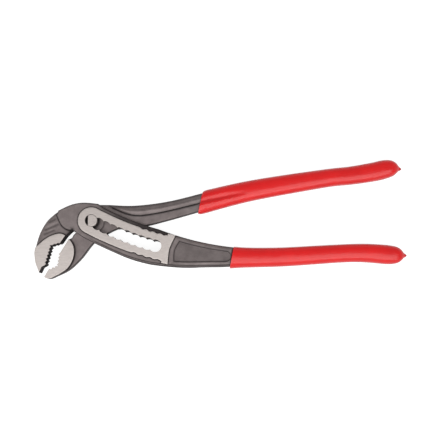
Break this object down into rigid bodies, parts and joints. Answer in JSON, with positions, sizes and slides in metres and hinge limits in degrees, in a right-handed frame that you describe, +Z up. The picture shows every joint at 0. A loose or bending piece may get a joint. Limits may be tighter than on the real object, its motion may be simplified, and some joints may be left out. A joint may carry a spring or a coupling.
{
  "type": "water pump pliers",
  "caption": "Slim box-joint water pump pliers with hooked, toothed jaws, a pin that shifts along a curved, scalloped slot, and long handles in red dipped grips.",
  "frame": {"origin": "on the joint pin's axis, level with the ground face that the tool lies on", "axes": "+X from the jaws to the handles, +Z up through the tool's thickness"},
  "size_m": [0.2519, 0.0812, 0.015],
  "materials": {
    "forged_steel": "forged, dark, with ground plates and jaw faces",
    "ground_steel": "ground flush",
    "dipped_pvc": "dipped, satin gloss"
  },
  "bodies": {
    "slotted_leg": {"slotted_leg": "forged_steel", "lower_grip": "dipped_pvc"},
    "joint_pin": {"joint_pin": "ground_steel"},
    "inner_leg": {"inner_leg": "forged_steel", "upper_grip": "dipped_pvc"}
  },
  "joints": [
    {"name": "jaw_adjust", "type": "hinge", "parent": "slotted_leg", "child": "joint_pin", "pos_m": [0.09671, 0.18143, 0.0075], "axis": [0, 0, 1], "range_deg": [0, 12.99]},
    {"name": "handle_pivot", "type": "hinge", "parent": "joint_pin", "child": "inner_leg", "pos_m": [0, 0, 0.0075], "axis": [0, 0, 1], "range_deg": [-4.5, 58]}
  ]
}
